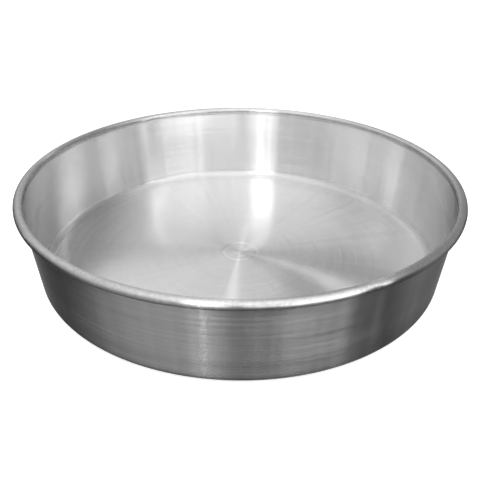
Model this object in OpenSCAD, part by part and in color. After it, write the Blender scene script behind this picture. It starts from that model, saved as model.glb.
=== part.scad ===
// Gold pan: a plain, steep-walled pan spun from one disc of aluminium sheet,
// with its rim rolled outward around a ring of steel wire.
// The origin is the middle of the flat base and +Z is the pan's axis, upward.
// All sizes are in millimetres and all angles in degrees.

/* [Pan] */
// Outside diameter over the rolled rim (a 14 inch pan)
rim_d = 355.6; // [250:0.2:450]
// Height from the resting face to the top of the rim
pan_h = 73.5; // [50:0.5:100]
// Lean of the wall away from vertical
wall_flare = 6; // [0:0.5:10]
// Outside radius of the bend between base and wall
corner_r = 8; // [4:0.5:14]
// Thickness of the sheet
sheet_t = 1.2; // [0.8:0.1:1.6]

/* [Rolled rim] */
// Diameter of the wire inside the rim
wire_d = 4.7; // [3.6:0.1:6]
// Clearance between the wire and the sheet rolled round it
wire_clearance = 0.05; // [0.02:0.01:0.1]
// Gap between the two butted ends of the wire, along the ring
wire_gap = 1; // [0.5:0.1:5]
// Gap between the sheet's rolled-under edge and the wall
lip_gap = 0.3; // [0.2:0.05:0.6]
// How far the roll stands inside the wall's inner face
roll_inset = 0.7; // [0.3:0.1:1.2]
// Radius, at mid-sheet, of the small bend that leads the wall into the roll
neck_r = 5; // [3:0.5:8]

/* [Centre mark] */
// Diameter of the shallow ring that the spinning lathe's clamp leaves in the floor
mark_d = 29; // [10:0.5:60]
// Width of that ring's groove at the floor's surface
mark_w = 1.6; // [1:0.1:3]
// Depth of the groove below the floor's surface
mark_depth = 0.25; // [0.1:0.05:0.4]

/* [Hidden] */

// Fineness of the large rings and of the small rounds in the section
ring_fn = 256;
round_fn = 96;

// The roll in section: sheet wrapped round the wire
roll_in_r = wire_d / 2 + wire_clearance;
roll_mid_r = roll_in_r + sheet_t / 2;
roll_out_r = roll_in_r + sheet_t;
roll_x = rim_d / 2 - roll_out_r;
roll_z = pan_h - roll_out_r;

// Directions in the section: up along the wall, and square to it, outward
along = [sin(wall_flare), cos(wall_flare)];
outward = [cos(wall_flare), -sin(wall_flare)];

// The neck bends the wall inward, until its far end touches the roll.
// The wall's middle surface, drawn on, passes wall_offset inside the wire's centre.
wall_offset = roll_mid_r - roll_inset;
neck_turn = acos((neck_r + wall_offset) / (neck_r + roll_mid_r));
neck_rise = (neck_r + roll_mid_r) * sin(neck_turn);
neck_foot = [roll_x, roll_z] - wall_offset * outward - neck_rise * along;

// The roll runs from the neck over the top and round, until it almost meets the wall
lip_reach = wall_offset - sheet_t / 2 - lip_gap;
roll_turn = 180 + neck_turn + acos(-lip_reach / roll_out_r);

// The corner bend, and the straight runs that join it to the neck and the axis
corner_mid_r = corner_r - sheet_t / 2;
wall_run = (neck_foot[1] - corner_r - corner_mid_r * outward[1]) / along[1];
floor_run = neck_foot[0] - wall_run * along[0] - corner_mid_r * outward[0];

// A circle that cuts the ring mark, sunk so that it opens mark_w wide at the surface
mark_r = (pow(mark_w / 2, 2) + pow(mark_depth, 2)) / (2 * mark_depth);

// The gap between the wire's ends, as an angle round the pan
wire_gap_angle = wire_gap / roll_x * 180 / PI;

// The section is drawn as the path of the sheet's middle line. Each stretch starts
// at the origin heading along +X, and its children are placed at its far end.

// A straight stretch of sheet
module straight(run) {
    translate([0, -sheet_t / 2])
        square([run, sheet_t]);
    translate([run, 0])
        children();
}

// A bend, to the left when turn is positive. What is cut from a whole ring is what lies
// behind its start or beyond its end, and past a half turn only what is both.
module bend(mid_r, turn) {
    centre_y = sign(turn) * mid_r;
    translate([0, centre_y]) {
        difference() {
            circle(r = mid_r + sheet_t / 2, $fn = round_fn);
            circle(r = mid_r - sheet_t / 2, $fn = round_fn);
            if (abs(turn) > 180)
                intersection() {
                    behind_start(mid_r);
                    beyond_end(mid_r, turn);
                }
            else {
                behind_start(mid_r);
                beyond_end(mid_r, turn);
            }
        }
        rotate(turn)
            translate([0, -centre_y])
                children();
    }
}

// The half of the plane behind the start of a bend round the origin
module behind_start(mid_r) {
    reach = 2 * (mid_r + sheet_t);
    translate([-reach, -reach])
        square([reach, 2 * reach]);
}

// The half of the plane beyond its end
module beyond_end(mid_r, turn) {
    reach = 2 * (mid_r + sheet_t);
    rotate(turn)
        translate([0, -reach])
            square([reach, 2 * reach]);
}

// The pan's sheet: floor, corner bend, wall, neck and the roll round the wire
module pan_shell() {
    color("silver")
        rotate_extrude($fn = ring_fn)
            difference() {
                translate([0, sheet_t / 2])
                    straight(floor_run)
                        bend(corner_mid_r, 90 - wall_flare)
                            straight(wall_run)
                                bend(neck_r, neck_turn)
                                    bend(roll_mid_r, -roll_turn);
                translate([mark_d / 2, sheet_t - mark_depth + mark_r])
                    circle(r = mark_r, $fn = round_fn);
            }
}

// The wire that stiffens the rim, with its two ends butted a small gap apart
module rim_wire() {
    color("dimgray")
        rotate([0, 0, 90 + wire_gap_angle / 2])
            rotate_extrude(angle = 360 - wire_gap_angle, $fn = ring_fn)
                translate([roll_x, roll_z])
                    circle(d = wire_d, $fn = round_fn);
}

pan_shell();
rim_wire();
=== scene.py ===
import math
from collections import namedtuple

import bmesh
import bpy
from mathutils import Matrix, Vector, noise


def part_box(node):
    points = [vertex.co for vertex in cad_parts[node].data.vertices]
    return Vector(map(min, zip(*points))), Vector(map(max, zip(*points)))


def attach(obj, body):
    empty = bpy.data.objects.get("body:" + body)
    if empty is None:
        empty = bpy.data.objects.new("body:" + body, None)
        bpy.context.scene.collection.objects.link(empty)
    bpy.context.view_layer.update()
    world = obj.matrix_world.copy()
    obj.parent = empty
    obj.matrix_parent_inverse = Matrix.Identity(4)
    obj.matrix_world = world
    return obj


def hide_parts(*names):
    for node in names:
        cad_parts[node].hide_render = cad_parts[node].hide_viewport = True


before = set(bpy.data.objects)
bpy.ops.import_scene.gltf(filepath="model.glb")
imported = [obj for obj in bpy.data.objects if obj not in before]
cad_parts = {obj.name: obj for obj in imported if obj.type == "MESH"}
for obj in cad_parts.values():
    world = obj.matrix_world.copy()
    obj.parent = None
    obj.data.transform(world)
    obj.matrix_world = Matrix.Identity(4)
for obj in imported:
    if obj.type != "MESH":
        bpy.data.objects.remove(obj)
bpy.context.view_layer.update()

SHELL_LOW, SHELL_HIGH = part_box("pan_shell")
WIRE_LOW, WIRE_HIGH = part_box("rim_wire")

# ---------------------------------------------------------------- sizes, in metres and radians

# The rim's radius, the height and the wire's thickness come from the frame. The rest repeats part.scad.
# SAFETY keeps the finer meshes just inside the CAD model's box.
SAFETY = 0.00005
RIM_R = (SHELL_HIGH.x - SHELL_LOW.x) / 2 - SAFETY
PAN_H = SHELL_HIGH.z - SAFETY
WIRE_R = (WIRE_HIGH.z - WIRE_LOW.z) / 2
WALL_FLARE = math.radians(6)
CORNER_R = 0.008
SHEET_T = 0.0012
NECK_R = 0.005
ROLL_INSET = 0.0007
WIRE_CLEARANCE = 0.00005
WIRE_GAP = 0.001
WIRE_CHAMFER = WIRE_R * 0.15
LIP_GAP = 0.0003
MARK_R = 0.0145
MARK_W = 0.0016
MARK_DEPTH = 0.00025

# What spinning and use leave on the sheet: shallow rings, a slightly uneven wall, a floor not quite flat
RING_DEPTH = 0.000004
# Each set of rings: its pitch, and how far into its wave it starts
RINGS = ((0.009, 0.0), (0.01557, 1.0))
WALL_WAVE = 0.00002
WALL_WAVE_LENGTH = 0.028
# The wall's waves are this many times longer upward than round the pan
WALL_WAVE_STRETCH = 4
FLOOR_WAVE = 0.000004
FLOOR_WAVE_LENGTH = 0.09
# The floor's rings and waves die out towards this radius
FLOOR_WAVE_REACH = SHELL_HIGH.x * 0.88
SEED = Vector((3.1, 7.7, 1.9))

# How finely the pan is turned: steps round the axis, and steps round the wire's own section
TURN_STEPS = 288
WIRE_TURN_STEPS = 360
WIRE_SECTION_STEPS = 24
# Steps along the floor inside and beyond the ring mark, corner, wall, neck and roll, on each face
Steps = namedtuple("Steps", "centre mark floor corner wall neck roll")
INSIDE_STEPS = Steps(centre=8, mark=14, floor=52, corner=14, wall=34, neck=6, roll=44)
OUTSIDE_STEPS = Steps(centre=3, mark=1, floor=40, corner=12, wall=34, neck=5, roll=36)


# ---------------------------------------------------------------- the sheet's section

def section_sizes():
    """The lengths and turns of the sheet's middle line, worked out as in part.scad."""
    roll_in = WIRE_R + WIRE_CLEARANCE
    roll_mid = roll_in + SHEET_T / 2
    roll_out = roll_in + SHEET_T
    up_wall = Vector((math.sin(WALL_FLARE), math.cos(WALL_FLARE)))
    off_wall = Vector((math.cos(WALL_FLARE), -math.sin(WALL_FLARE)))
    wall_offset = roll_mid - ROLL_INSET
    neck_turn = math.acos((NECK_R + wall_offset) / (NECK_R + roll_mid))
    neck_rise = (NECK_R + roll_mid) * math.sin(neck_turn)
    roll_centre = Vector((RIM_R - roll_out, PAN_H - roll_out))
    neck_foot = roll_centre - wall_offset * off_wall - neck_rise * up_wall
    corner_mid = CORNER_R - SHEET_T / 2
    wall_run = (neck_foot.y - CORNER_R - corner_mid * off_wall.y) / up_wall.y
    floor_run = neck_foot.x - wall_run * up_wall.x - corner_mid * off_wall.x
    lip_reach = wall_offset - SHEET_T / 2 - LIP_GAP
    roll_turn = math.pi + neck_turn + math.acos(-lip_reach / roll_out)
    return floor_run, corner_mid, wall_run, neck_turn, roll_mid, roll_turn


def add_straight(path, run, steps):
    """Adds equal steps straight on to a path of (x, z, heading)."""
    x, z, heading = path[-1]
    for i in range(1, steps + 1):
        gone = run * i / steps
        path.append((x + gone * math.cos(heading), z + gone * math.sin(heading), heading))


def add_bend(path, radius, turn, steps):
    """Adds equal steps round an arc, to the left when turn is positive."""
    x, z, heading = path[-1]
    side = math.copysign(radius, turn)
    centre_x = x - side * math.sin(heading)
    centre_z = z + side * math.cos(heading)
    for i in range(1, steps + 1):
        now = heading + turn * i / steps
        path.append((centre_x + side * math.sin(now), centre_z - side * math.cos(now), now))


def section_path(steps):
    """The sheet's middle line from the axis to the lip that is rolled under the wire."""
    floor_run, corner_mid, wall_run, neck_turn, roll_mid, roll_turn = section_sizes()
    path = [(0.0, SHEET_T / 2, 0.0)]
    mark_inside = MARK_R - MARK_W / 2
    mark_outside = MARK_R + MARK_W / 2
    add_straight(path, mark_inside, steps.centre)
    add_straight(path, MARK_W, steps.mark)
    add_straight(path, floor_run - mark_outside, steps.floor)
    add_bend(path, corner_mid, math.pi / 2 - WALL_FLARE, steps.corner)
    add_straight(path, wall_run, steps.wall)
    add_bend(path, NECK_R, neck_turn, steps.neck)
    add_bend(path, roll_mid, -roll_turn, steps.roll)
    return path


def face_of_sheet(steps, side):
    """One face of the sheet as (x, z): side is +1 for the inside of the pan and -1 for the outside."""
    points = []
    off = side * SHEET_T / 2
    for x, z, heading in section_path(steps):
        points.append((x - off * math.sin(heading), z + off * math.cos(heading)))
    return points


def mark_depth_at(x):
    """The depth of the clamp's ring mark at a distance from the axis: one smooth groove."""
    off = abs(x - MARK_R) / (MARK_W / 2)
    return MARK_DEPTH * (0.5 + 0.5 * math.cos(math.pi * off)) if off < 1 else 0.0


def sheet_outline():
    """The closed outline from the floor's centre, up and round the roll, and back to the base's centre."""
    inside = [(x, z - mark_depth_at(x)) for x, z in face_of_sheet(INSIDE_STEPS, 1)]
    return inside + face_of_sheet(OUTSIDE_STEPS, -1)[::-1]


# ---------------------------------------------------------------- small unevenness in the metal

def uneven(x, z, turn, wave_length):
    """Smooth noise from -1 to 1 that closes on itself round the pan."""
    place = Vector((x * math.cos(turn), x * math.sin(turn), z)) / wave_length
    return noise.noise(place + SEED)


def sheet_wander(x, z, turn):
    """How far the real sheet strays from the true turned shape, as (outward, up)."""
    on_floor = max(0.0, 1 - (x / FLOOR_WAVE_REACH) ** 4) if SHEET_T / 2 < z < CORNER_R else 0.0
    on_wall = min(1.0, max(0.0, (z - CORNER_R) / CORNER_R))
    rings = 0.0
    for pitch, start in RINGS:
        rings += RING_DEPTH * math.sin(2 * math.pi * (x + z) / pitch + start)
    wall_wave = WALL_WAVE * uneven(x, z / WALL_WAVE_STRETCH, turn, WALL_WAVE_LENGTH)
    floor_wave = FLOOR_WAVE * uneven(x, 0, turn, FLOOR_WAVE_LENGTH) * min(1.0, x / MARK_R)
    return on_wall * (rings + wall_wave), on_floor * (rings + floor_wave)


def revolve(outline, wander):
    """Turns an outline that starts and ends on the axis into a closed mesh of quads and two fans."""
    bm = bmesh.new()
    rings = []
    for x, z in outline:
        ring = []
        for i in range(TURN_STEPS if x > 0 else 1):
            turn = 2 * math.pi * i / TURN_STEPS
            outward, up = wander(x, z, turn)
            r = x + outward if x > 0 else 0.0
            ring.append(bm.verts.new((r * math.cos(turn), r * math.sin(turn), z + up)))
        rings.append(ring)
    for ring, following in zip(rings, rings[1:]):
        for i in range(TURN_STEPS):
            j = (i + 1) % TURN_STEPS
            near = [ring[i % len(ring)], ring[j % len(ring)]]
            far = [following[j % len(following)], following[i % len(following)]]
            bm.faces.new(dict.fromkeys(near + far))
    bmesh.ops.recalc_face_normals(bm, faces=bm.faces)
    return bm


def object_from(bm, name, material):
    """Makes an object of a bmesh, smooth but for edges sharper than 40 degrees."""
    mesh = bpy.data.meshes.new(name)
    bm.to_mesh(mesh)
    bm.free()
    mesh.shade_smooth()
    mesh.set_sharp_from_angle(angle=math.radians(40))
    mesh.materials.append(material)
    obj = bpy.data.objects.new(name, mesh)
    bpy.context.scene.collection.objects.link(obj)
    return obj


# ---------------------------------------------------------------- the two pieces

def make_shell():
    shell = object_from(revolve(sheet_outline(), sheet_wander), "spun_pan", spun_aluminium())
    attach(shell, "root")
    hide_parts("pan_shell")


def make_wire():
    """The wire ring, bent round until its cut ends almost meet at the back."""
    bm = bmesh.new()
    ring_r = WIRE_HIGH.x - WIRE_R - SAFETY
    middle_z = (WIRE_LOW.z + WIRE_HIGH.z) / 2
    half_gap = WIRE_GAP / 2 / ring_r
    full_from = half_gap + WIRE_CHAMFER / ring_r
    span = 2 * math.pi - 2 * full_from
    stations = [(half_gap, WIRE_R - WIRE_CHAMFER)]
    for i in range(WIRE_TURN_STEPS + 1):
        stations.append((full_from + span * i / WIRE_TURN_STEPS, WIRE_R))
    stations.append((2 * math.pi - half_gap, WIRE_R - WIRE_CHAMFER))
    loops = []
    for from_back, wire_r in stations:
        turn = math.pi / 2 + from_back
        loop = []
        for k in range(WIRE_SECTION_STEPS):
            around = 2 * math.pi * k / WIRE_SECTION_STEPS
            r = ring_r + wire_r * math.cos(around)
            z = middle_z + wire_r * math.sin(around)
            loop.append(bm.verts.new((r * math.cos(turn), r * math.sin(turn), z)))
        loops.append(loop)
    for loop, following in zip(loops, loops[1:]):
        for k in range(WIRE_SECTION_STEPS):
            m = (k + 1) % WIRE_SECTION_STEPS
            bm.faces.new((loop[k], loop[m], following[m], following[k]))
    bm.faces.new(loops[0])
    bm.faces.new(loops[-1][::-1])
    bmesh.ops.recalc_face_normals(bm, faces=bm.faces)
    wire = object_from(bm, "rim_wire_ring", zinc_wire())
    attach(wire, "root")
    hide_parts("rim_wire")


# ---------------------------------------------------------------- materials

def link_or_set(tree, socket, value):
    """Links a socket when given another node's output, or sets its value."""
    if isinstance(value, bpy.types.NodeSocket):
        tree.links.new(value, socket)
    else:
        socket.default_value = value


def add_math(tree, operation, *values):
    node = tree.nodes.new("ShaderNodeMath")
    node.operation = operation
    for socket, value in zip(node.inputs, values):
        link_or_set(tree, socket, value)
    return node.outputs[0]


class Nodes:
    """Short ways to add nodes to one material."""

    def __init__(self, name):
        self.material = bpy.data.materials.new(name)
        self.material.use_nodes = True
        self.tree = self.material.node_tree
        self.shader = self.tree.nodes["Principled BSDF"]

    def set(self, socket, value):
        link_or_set(self.tree, socket, value)

    def math(self, operation, *values):
        return add_math(self.tree, operation, *values)

    def times(self, *values):
        """The product of two or more values."""
        product = values[0]
        for value in values[1:]:
            product = self.math("MULTIPLY", product, value)
        return product

    def xyz(self, x, y, z):
        node = self.tree.nodes.new("ShaderNodeCombineXYZ")
        for socket, value in zip(node.inputs, (x, y, z)):
            self.set(socket, value)
        return node.outputs[0]

    def place(self):
        return self.tree.nodes.new("ShaderNodeTexCoord").outputs["Object"]

    def normal(self):
        return self.tree.nodes.new("ShaderNodeNewGeometry").outputs["Normal"]

    def parts(self, vector):
        """A vector's x, y and z."""
        split = self.tree.nodes.new("ShaderNodeSeparateXYZ")
        self.set(split.inputs[0], vector)
        return split.outputs[0], split.outputs[1], split.outputs[2]

    def noise(self, place, scale=1.0, detail=2.0, roughness=0.5):
        """Noise from 0 to 1 at a place."""
        node = self.tree.nodes.new("ShaderNodeTexNoise")
        self.set(node.inputs["Vector"], place)
        self.set(node.inputs["Scale"], scale)
        self.set(node.inputs["Detail"], detail)
        self.set(node.inputs["Roughness"], roughness)
        return node.outputs[0]

    def remap(self, value, from_low, from_high, to_low, to_high):
        """Maps one range to another, and holds its ends."""
        node = self.tree.nodes.new("ShaderNodeMapRange")
        for socket, number in zip(node.inputs, (value, from_low, from_high, to_low, to_high)):
            self.set(socket, number)
        return node.outputs[0]

    def add(self, value, *masks):
        """Adds each (mask, amount) pair's whole amount where the mask is 1."""
        for mask, amount in masks:
            value = self.math("ADD", value, self.times(mask, amount))
        return value

    def swing(self, value, *waves):
        """Moves a value either way by up to half of each (wave, amount) pair's amount."""
        for wave, amount in waves:
            value = self.math("ADD", value, self.times(self.math("SUBTRACT", wave, 0.5), amount))
        return value

    def grey(self, value):
        node = self.tree.nodes.new("ShaderNodeCombineColor")
        for socket in node.inputs:
            self.set(socket, value)
        return node.outputs[0]

    def bump(self, height, distance):
        node = self.tree.nodes.new("ShaderNodeBump")
        self.set(node.inputs["Height"], height)
        self.set(node.inputs["Distance"], distance)
        self.set(self.shader.inputs["Normal"], node.outputs[0])


# The bare sheet's tone and roughness, before marks, soil and wear
BARE_TONE = 0.80
BARE_ROUGHNESS = 0.245
# The spinning lines' pitches
FINE_PITCH = 0.0006
MEDIUM_PITCH = 0.0025
BROAD_PITCH = 0.012
LINE_BUMP = 0.00001
# How many rubbed spokes there are in each radian of the floor, roughly
SPOKES = 26
# Directions round the axis are taken no nearer to it than this
AXIS_R = 0.0005
RIM_TOP = SHELL_HIGH.z


def spun_aluminium():
    """Bare aluminium with the circular lines of spinning, faint spokes of rubbing and wear, and painted
    shade in the inner corner, round the base's edge, under the roll and on the bead's outer face.
    """
    n = Nodes("spun_aluminium")
    place = n.place()
    x, y, z = n.parts(place)
    normal_z = n.parts(n.normal())[2]
    radius = n.math("SQRT", n.math("ADD", n.times(x, x), n.times(y, y)))
    along = n.math("ADD", radius, z)
    safe_radius = n.math("MAXIMUM", radius, AXIS_R)
    cosine = n.math("DIVIDE", x, safe_radius)
    sine = n.math("DIVIDE", y, safe_radius)

    def lines(pitch, sweep, detail):
        """Lines round the axis, a pitch apart, that fade and change a few times a turn."""
        across = n.math("DIVIDE", along, pitch)
        return n.noise(n.xyz(across, n.times(cosine, sweep), n.times(sine, sweep)), detail=detail)

    fine = lines(FINE_PITCH, 2.5, 3)
    medium = lines(MEDIUM_PITCH, 1.2, 2)
    broad = lines(BROAD_PITCH, 0.7, 1)
    smudge = n.noise(place, scale=22, detail=4, roughness=0.6)
    mottle = n.noise(place, scale=420, detail=3, roughness=0.6)
    spokes = n.noise(n.xyz(n.times(cosine, SPOKES), n.times(sine, SPOKES), along), detail=3)

    # Which way the sheet faces, and the bead that the roll makes
    faces_up = n.remap(normal_z, -0.02, 0.02, 0, 1)
    outside = n.math("SUBTRACT", 1.0, faces_up)
    bead = n.remap(z, RIM_TOP - 0.006, RIM_TOP - 0.0045, 0, 1)
    below_bead = n.math("SUBTRACT", 1.0, bead)

    # Rubbed where the pan stands and along the top of its rim
    base_rub = n.remap(z, 0.0002, 0.0010, 1, 0)
    lip_rub = n.remap(z, RIM_TOP - 0.0016, RIM_TOP, 0, 1)
    rub = n.times(n.math("MAXIMUM", base_rub, lip_rub), n.remap(smudge, 0.3, 0.7, 0.2, 0.8))

    # Painted shade in the inner corner, painted shadow round the base's edge, and painted shade in patches
    # under the roll
    above_floor = n.remap(z, SHEET_T + 0.0002, SHEET_T + 0.001, 0, 1)
    # Painted shade: the inner corner is darker, and a little rougher
    painted_corner_shade = n.times(above_floor, n.remap(z, CORNER_R * 0.5, CORNER_R, 1, 0), faces_up)
    # Painted shadow: the outer wall darkens towards the base, strongly in its last few millimetres,
    # standing in for the reflected shadow under the pan
    base_shadow_by_height = n.math("ADD", n.remap(z, 0.0005, 0.004, 0.75, 0), n.remap(z, 0, 0.022, 0.25, 0))
    painted_base_shadow = n.times(base_shadow_by_height, outside)
    # Painted shade in patches on the outer wall just under the roll
    under_roll = n.times(n.remap(z, RIM_TOP - 0.016, RIM_TOP - 0.009, 0, 1), below_bead, outside)
    painted_roll_shade = n.times(under_roll, n.remap(smudge, 0.4, 0.6, 0, 1))

    # The bead is mottled and darker in tone, and painted shade darkens its lower outer face
    bead_tone = n.remap(mottle, 0.3, 0.7, -0.10, -0.22)
    bead_roughness = n.remap(mottle, 0.3, 0.7, -0.02, 0.04)
    painted_bead_face_shade = n.times(bead, n.remap(normal_z, 0.25, 0.6, 1, 0), n.remap(normal_z, -0.4, 0.1, 0, 1))

    tone = n.swing(BARE_TONE, (fine, 0.10), (medium, 0.08), (smudge, 0.05), (spokes, 0.10))
    # Painted shade: darker in the inner corner, round the base's edge and under the roll
    tone = n.add(tone, (painted_corner_shade, -0.12), (painted_base_shadow, -0.55), (painted_roll_shade, -0.25))
    # The bead's own darker, mottled tone, and painted shade on its lower outer face
    tone = n.add(tone, (bead, bead_tone), (painted_bead_face_shade, -0.19))
    n.set(n.shader.inputs["Base Color"], n.grey(tone))

    rough = n.swing(BARE_ROUGHNESS, (medium, 0.05), (broad, 0.05), (smudge, 0.05), (spokes, 0.04))
    rough = n.add(rough, (rub, 0.12), (painted_corner_shade, 0.06), (bead, bead_roughness))
    n.set(n.shader.inputs["Roughness"], rough)

    n.bump(n.math("ADD", n.times(fine, 0.5), n.times(medium, 0.5)), LINE_BUMP)

    # The highlights stretch across the lines, which run round the pan's axis
    n.shader.inputs["Metallic"].default_value = 1.0
    n.shader.inputs["Anisotropic"].default_value = 1.0
    n.shader.inputs["Anisotropic Rotation"].default_value = 0.25
    tangent = n.tree.nodes.new("ShaderNodeTangent")
    tangent.direction_type = "RADIAL"
    tangent.axis = "Z"
    n.set(n.shader.inputs["Tangent"], tangent.outputs[0])
    return n.material


def zinc_wire():
    """Drawn steel wire with a dull, slightly mottled zinc coat."""
    n = Nodes("zinc_wire")
    mottle = n.noise(n.place(), scale=260, detail=3, roughness=0.6)
    blotch = n.noise(n.place(), scale=45, detail=3, roughness=0.6)
    tone = n.add(n.remap(mottle, 0.3, 0.7, 0.40, 0.52), (blotch, 0.08))
    n.set(n.shader.inputs["Base Color"], n.grey(tone))
    n.set(n.shader.inputs["Roughness"], n.remap(blotch, 0.3, 0.7, 0.38, 0.58))
    n.bump(mottle, 0.00003)
    n.shader.inputs["Metallic"].default_value = 1.0
    return n.material


def pale_floor():
    """The studio's matt white floor, lit a little from within so that it stays bright."""
    n = Nodes("pale_floor")
    grain = n.noise(n.place(), scale=400, detail=2)
    n.set(n.shader.inputs["Base Color"], n.grey(n.remap(grain, 0.3, 0.7, 0.88, 0.92)))
    n.shader.inputs["Roughness"].default_value = 0.9
    n.shader.inputs["Emission Color"].default_value = (1, 1, 1, 1)
    n.shader.inputs["Emission Strength"].default_value = FLOOR_GLOW
    return n.material


# ---------------------------------------------------------------- floor, lights and camera

FLOOR_HALF = 8.0
FLOOR_GLOW = 0.55


def make_floor():
    bm = bmesh.new()
    bmesh.ops.create_grid(bm, x_segments=16, y_segments=16, size=FLOOR_HALF)
    floor = object_from(bm, "floor", pale_floor())
    floor.visible_glossy = False
    floor.visible_shadow = False


# Each soft box faces the pan from this far away. Its angles are in degrees. Azimuth goes anticlockwise
# from the pan's right, so the camera is at -90. Wide is the azimuth that it spans, and tall its height.
SOFT_BOX_REACH = 1.2
SoftBox = namedtuple("SoftBox", "name azimuth elevation wide tall radiance")
SOFT_BOXES = (
    SoftBox("window", -107, 26, 14, 66, 1.7),
    SoftBox("window_low", -99, 2, 9, 20, 2.2),
    SoftBox("window_gap", -106, -16, 0.7, 24, 5),
    SoftBox("wall_back", 108, 30, 50, 30, 0.2),
    SoftBox("wall_right", -51, 17, 30, 16, 1.4),
    SoftBox("wall_right_low", -62, 3, 52, 15, 2.1),
    SoftBox("low_right", -57, -5, 32, 20, 1.7),
    SoftBox("strip_right", -26.5, 24, 4.5, 60, 2.2),
    SoftBox("strip_back_left", 160, 27, 5, 50, 0.6),
    SoftBox("lamp_back_right", 68, 35, 4, 4, 5),
    SoftBox("lamp_back", 94, 57, 2.4, 12, 6),
)


def make_soft_box(box):
    data = bpy.data.lights.new(box.name, "AREA")
    data.shape = "RECTANGLE"
    width_at_horizon = 2 * SOFT_BOX_REACH * math.tan(math.radians(box.wide / 2))
    data.size = width_at_horizon * math.cos(math.radians(box.elevation))
    data.size_y = 2 * SOFT_BOX_REACH * math.tan(math.radians(box.tall / 2))
    data.energy = box.radiance * math.pi * data.size * data.size_y
    light = bpy.data.objects.new(box.name, data)
    away = direction_to(box.azimuth, box.elevation)
    light.location = away * SOFT_BOX_REACH + Vector((0, 0, PAN_H))
    light.rotation_euler = away.to_track_quat("Z", "Y").to_euler()
    light.visible_camera = False
    bpy.context.scene.collection.objects.link(light)


# The room that the metal reflects: dim below the horizon and paler above it, with soft glows on its
# walls, ceiling and table. A glow is brightest in its middle and fades out at its reach, in degrees.
ROOM_DIM = 0.035
ROOM_PALE = 0.3
# The room goes from dim to pale as the upward part of the direction goes from one of these to the other
HORIZON_LOW = -0.10
HORIZON_HIGH = 0.15
Glow = namedtuple("Glow", "name azimuth elevation reach strength")
GLOWS = (
    Glow("wall_front", -105, 35, 90, 0.47),
    Glow("ceiling_front", -66, 45, 38, 0.32),
    Glow("ceiling_right", -30, 62, 38, 0.67),
    Glow("ceiling_left", -120, 58, 36, 0.55),
    Glow("ceiling_back", 132, 55, 45, 0.5),
    Glow("table_left", -138, -18, 46, 0.31),
    Glow("table_right", 15, -15, 30, 0.2),
    Glow("table_back", 90, -22, 48, 0.3),
)


def direction_to(azimuth, elevation):
    """The unit vector towards an azimuth and elevation in degrees."""
    turn = math.radians(azimuth)
    rise = math.radians(elevation)
    return Vector((math.cos(rise) * math.cos(turn), math.cos(rise) * math.sin(turn), math.sin(rise)))


def make_world():
    """White for the camera, and the room's soft light for the metal."""
    world = bpy.data.worlds.new("studio")
    world.use_nodes = True
    tree = world.node_tree
    direction = tree.nodes.new("ShaderNodeTexCoord").outputs["Generated"]

    def towards(axis, low, high):
        """Rises smoothly from 0 to 1 as the direction's part along an axis goes from low to high."""
        along = tree.nodes.new("ShaderNodeVectorMath")
        along.operation = "DOT_PRODUCT"
        tree.links.new(direction, along.inputs[0])
        along.inputs[1].default_value = axis
        step = tree.nodes.new("ShaderNodeMapRange")
        step.interpolation_type = "SMOOTHSTEP"
        tree.links.new(along.outputs["Value"], step.inputs["Value"])
        step.inputs["From Min"].default_value = low
        step.inputs["From Max"].default_value = high
        return step

    above = towards((0, 0, 1), HORIZON_LOW, HORIZON_HIGH)
    above.name = "above"
    light = add_math(tree, "ADD", ROOM_DIM, add_math(tree, "MULTIPLY", above.outputs[0], ROOM_PALE))
    for glow in GLOWS:
        spot = towards(direction_to(glow.azimuth, glow.elevation), math.cos(math.radians(glow.reach)), 1)
        spot.name = glow.name
        glowing = add_math(tree, "MULTIPLY", spot.outputs[0], glow.strength)
        light = add_math(tree, "ADD", light, glowing)
    room = tree.nodes["Background"]
    room.inputs["Color"].default_value = (1, 1, 1, 1)
    tree.links.new(light, room.inputs["Strength"])

    backdrop = tree.nodes.new("ShaderNodeBackground")
    backdrop.inputs["Color"].default_value = (1, 1, 1, 1)
    rays = tree.nodes.new("ShaderNodeLightPath")
    mix = tree.nodes.new("ShaderNodeMixShader")
    tree.links.new(rays.outputs["Is Camera Ray"], mix.inputs[0])
    tree.links.new(room.outputs[0], mix.inputs[1])
    tree.links.new(backdrop.outputs[0], mix.inputs[2])
    tree.links.new(mix.outputs[0], tree.nodes["World Output"].inputs["Surface"])
    bpy.context.scene.world = world


# The camera looks down at the pan from the front. Its reach is in rim radii from the rim's centre.
CAMERA_REACH = 2.878
CAMERA_ELEVATION = math.radians(24.13)
CAMERA_DOWN_TILT = math.radians(30.04)
CAMERA_ROLL = math.radians(0.35)
CAMERA_LENS_MM = 46.8


def make_camera():
    data = bpy.data.cameras.new("camera")
    data.sensor_width = 36
    data.lens = CAMERA_LENS_MM
    camera = bpy.data.objects.new("camera", data)
    reach = CAMERA_REACH * RIM_R
    back = reach * math.cos(CAMERA_ELEVATION)
    up = reach * math.sin(CAMERA_ELEVATION)
    camera.location = (0, -back, PAN_H + up)
    tilt = Matrix.Rotation(math.pi / 2 - CAMERA_DOWN_TILT, 4, "X")
    camera.rotation_euler = (tilt @ Matrix.Rotation(CAMERA_ROLL, 4, "Z")).to_euler()
    bpy.context.scene.collection.objects.link(camera)
    bpy.context.scene.camera = camera


make_shell()
make_wire()
make_floor()
for soft_box in SOFT_BOXES:
    make_soft_box(soft_box)
make_world()
make_camera()
bpy.context.scene.view_settings.view_transform = "Standard"
